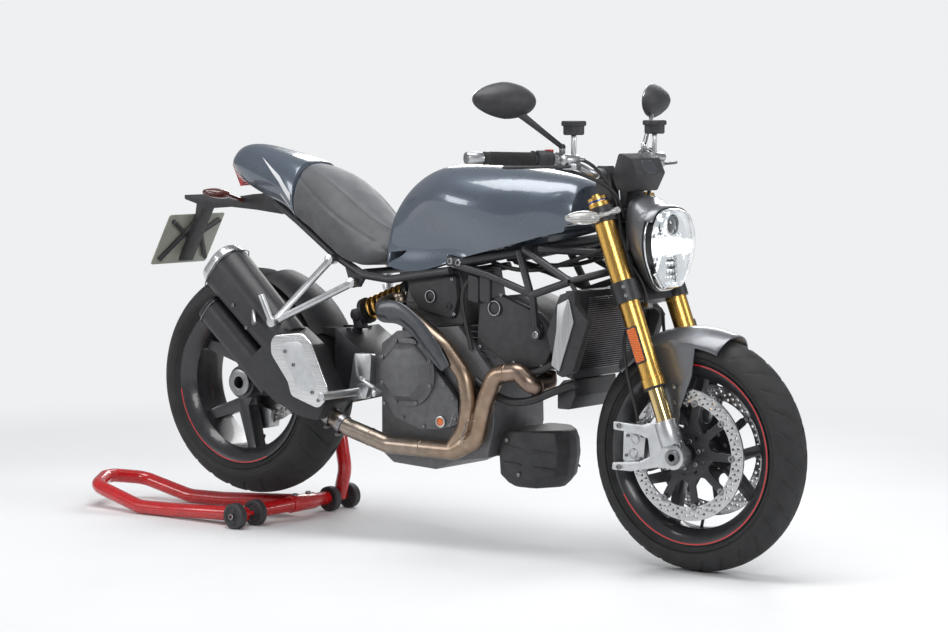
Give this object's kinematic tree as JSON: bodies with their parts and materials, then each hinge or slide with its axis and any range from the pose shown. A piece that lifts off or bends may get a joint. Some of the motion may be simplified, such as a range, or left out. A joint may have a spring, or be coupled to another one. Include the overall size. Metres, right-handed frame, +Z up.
{
  "type": "standard motorcycle on rear paddock stand",
  "caption": "Naked street motorcycle with a trellis frame, single-sided swingarm and two stacked silencers, standing on a red rear paddock stand with casters.",
  "frame": {"origin": "on the floor, at the middle of the overall length, on the machine's centreline", "axes": "+X forward along the machine, +Y to the machine's left, +Z up"},
  "size_m": [2.3249, 0.8464, 1.224],
  "materials": {
    "black_metal": "satin black",
    "body_paint": "gloss slate blue-grey",
    "caster_dark": "matt",
    "chain_steel": "oiled",
    "clear_lens": "clear",
    "dark_plastic": "matt black",
    "disc_steel": "ground steel",
    "engine_grey": "satin grey",
    "fork_gold": "gold anodised",
    "fork_inner": "polished, gold tinted",
    "grip_rubber": "matt",
    "guard_alloy": "polished",
    "header_steel": "heat-tinted",
    "hose_rubber": "satin",
    "lamp_clear": "clear",
    "lamp_paint": "satin metallic grey",
    "lamp_red": "red",
    "lamp_smoked": "smoked",
    "plate_metal": "blank",
    "rim_black": "satin black",
    "seat_cover": "satin, dark grey",
    "silencer_black": "matt black",
    "silver_alloy": "satin",
    "stand_red": "gloss red",
    "steel_dark": "plated",
    "tyre": "matt black rubber"
  },
  "bodies": {
    "root": {"belly_pan": "dark_plastic", "belt_covers": "dark_plastic", "crankcase": "engine_grey", "cylinders": "engine_grey", "drive_chain": "chain_steel", "engine_covers": "engine_grey", "exhaust_guards": "guard_alloy", "exhaust_headers": "header_steel", "foot_controls": "silver_alloy", "frame": "black_metal", "fuel_tank": "body_paint", "number_plate": "plate_metal", "paddock_stand": "stand_red", "pillion_hangers": "silver_alloy", "plate_bracket": "dark_plastic", "radiator": "black_metal", "radiator_covers": "dark_plastic", "rear_caliper": "silver_alloy", "rear_indicators": "lamp_smoked", "rear_mudguard": "dark_plastic", "rear_shock": "fork_gold", "rear_subframe": "black_metal", "rider_footrests": "silver_alloy", "saddle": "seat_cover", "silencers": "silencer_black", "swingarm": "black_metal", "tail_cowl": "body_paint", "tail_light": "lamp_red"},
    "steering": {"brake_hoses": "hose_rubber", "fork_clamps": "black_metal", "fork_feet": "silver_alloy", "fork_inner_tubes": "fork_inner", "fork_outer_tubes": "fork_gold", "front_axle_shaft": "steel_dark", "front_calipers": "silver_alloy", "front_indicators": "lamp_clear", "front_mudguard": "lamp_paint", "grips": "grip_rubber", "hand_controls": "dark_plastic", "handlebar": "silver_alloy", "headlight_housing": "lamp_paint", "headlight_lens": "clear_lens", "instrument_display": "dark_plastic", "mirrors": "dark_plastic"},
    "front_wheel": {"front_brake_discs": "disc_steel", "front_rim": "rim_black", "front_tyre": "tyre"},
    "rear_wheel": {"rear_disc_and_sprocket": "disc_steel", "rear_rim": "rim_black", "rear_tyre": "tyre", "rear_wheel_axle": "steel_dark"},
    "side_stand": {"side_stand": "black_metal"},
    "fuel_cap": {"fuel_cap": "silver_alloy"},
    "stand_wheels_right": {"stand_wheels_right": "caster_dark"},
    "stand_wheels_left": {"stand_wheels_left": "caster_dark"}
  },
  "joints": [
    {"name": "steering_turn", "type": "hinge", "parent": "root", "child": "steering", "pos_m": [0.83135, 0, 0.28722], "axis": [-0.3551, 0, 0.9348], "range_deg": [-30, 30]},
    {"name": "front_wheel_spin", "type": "hinge", "parent": "steering", "child": "front_wheel", "pos_m": [0.865, 0, 0.3], "axis": [0, 1, 0], "continuous": true},
    {"name": "rear_wheel_spin", "type": "hinge", "parent": "root", "child": "rear_wheel", "pos_m": [-0.617, 0, 0.3863], "axis": [0, 1, 0], "continuous": true},
    {"name": "side_stand_swing", "type": "hinge", "parent": "root", "child": "side_stand", "pos_m": [0.096, 0.15, 0.262], "axis": [0, -1, 0], "range_deg": [0, 105]},
    {"name": "fuel_cap_lid", "type": "hinge", "parent": "root", "child": "fuel_cap", "pos_m": [0.343, 0, 1.0215], "axis": [0, 1, 0], "range_deg": [0, 90]},
    {"name": "stand_wheels_right_spin", "type": "hinge", "parent": "root", "child": "stand_wheels_right", "pos_m": [-0.497, -0.191, 0.036], "axis": [0, 1, 0], "continuous": true},
    {"name": "stand_wheels_left_spin", "type": "hinge", "parent": "root", "child": "stand_wheels_left", "pos_m": [-0.497, 0.212, 0.036], "axis": [0, 1, 0], "continuous": true}
  ]
}
